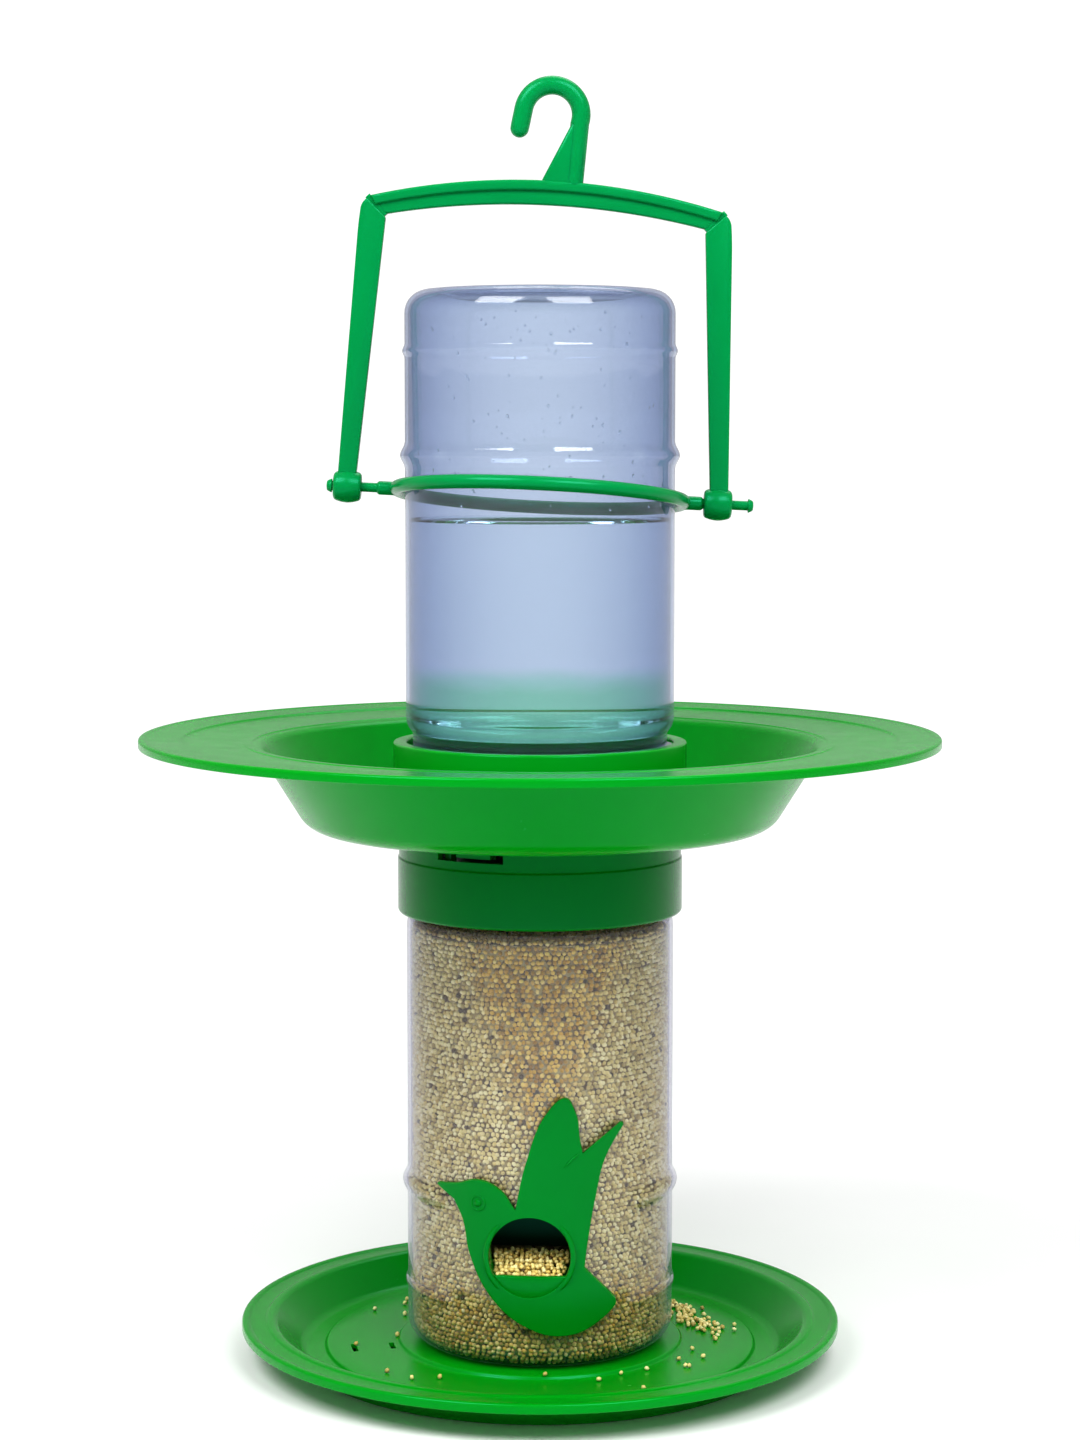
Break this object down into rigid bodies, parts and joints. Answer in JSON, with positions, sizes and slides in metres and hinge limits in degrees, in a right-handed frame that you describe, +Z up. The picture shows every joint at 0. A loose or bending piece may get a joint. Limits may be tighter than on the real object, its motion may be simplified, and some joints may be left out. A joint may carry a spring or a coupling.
{
  "type": "hanging bird feeder",
  "caption": "Hanging seed and water feeder for wild birds: ported seed jar on a perch tray, upturned water jar over a wide drinking tray, and a folding bail with a hook.",
  "frame": {"origin": "centre of the lower tray's underside, on the jars' common axis, at the plane the feeder stands on", "axes": "+Z up along the jars' common axis; -Y is the front, where the front feeding port and the bail's broad side face; +X is to the right seen from the front"},
  "size_m": [0.28, 0.28, 0.4487],
  "materials": {
    "green_polypropylene": "satin",
    "bail_polypropylene": "satin",
    "bezel_polypropylene": "satin",
    "cap_polypropylene": "satin",
    "clear_pet": "gloss",
    "water": "gloss",
    "millet": "matte",
    "liner_foam": "matte",
    "zinc_steel": "satin"
  },
  "bodies": {
    "seed_base": {"lower_tray": "green_polypropylene", "base_screw": "zinc_steel", "base_washer": "zinc_steel", "base_nut": "zinc_steel", "seed_jar": "clear_pet", "seed_fill": "millet", "port_bezel_front": "bezel_polypropylene", "port_hood_front": "cap_polypropylene", "port_bezel_rear": "bezel_polypropylene", "port_hood_rear": "cap_polypropylene"},
    "cap_liner": {"cap_liner": "liner_foam"},
    "jar_cap": {"jar_cap": "cap_polypropylene"},
    "water_tray": {"water_tray": "green_polypropylene"},
    "water": {"water_fill": "water"},
    "water_bottle": {"water_bottle": "clear_pet"},
    "support_ring": {"support_ring": "bail_polypropylene"},
    "bail": {"bail_arm_left": "bail_polypropylene", "bail_arm_right": "bail_polypropylene", "hook_crossbar": "bail_polypropylene"}
  },
  "joints": [
    {"name": "cap_rise", "type": "slide", "parent": "seed_base", "child": "cap_liner", "axis": [0, 0, 1], "range_m": [0, 0.005]},
    {"name": "cap_unscrew", "type": "hinge", "parent": "cap_liner", "child": "jar_cap", "pos_m": [0, 0, 0.17], "axis": [0, 0, 1], "range_deg": [0, 450]},
    {"name": "tray_twist", "type": "hinge", "parent": "jar_cap", "child": "water_tray", "pos_m": [0, 0, 0.188], "axis": [0, 0, 1], "range_deg": [0, 32]},
    {"name": "bottle_rise", "type": "slide", "parent": "water_tray", "child": "water", "axis": [0, 0, 1], "range_m": [0, 0.005]},
    {"name": "bottle_unscrew", "type": "hinge", "parent": "water", "child": "water_bottle", "pos_m": [0, 0, 0.21], "axis": [0, 0, 1], "range_deg": [0, 450]},
    {"name": "ring_swivel", "type": "hinge", "parent": "water_bottle", "child": "support_ring", "pos_m": [0, 0, 0.3045], "axis": [0, 0, 1], "continuous": true},
    {"name": "bail_swing", "type": "hinge", "parent": "support_ring", "child": "bail", "pos_m": [0, 0, 0.3045], "axis": [0.9988, 0, -0.0488], "range_deg": [-120, 120]}
  ],
  "couplings": [
    {"joint": "cap_unscrew", "follows": "cap_rise", "rad_per_m": 1570.8},
    {"joint": "bottle_unscrew", "follows": "bottle_rise", "rad_per_m": 1570.8}
  ]
}
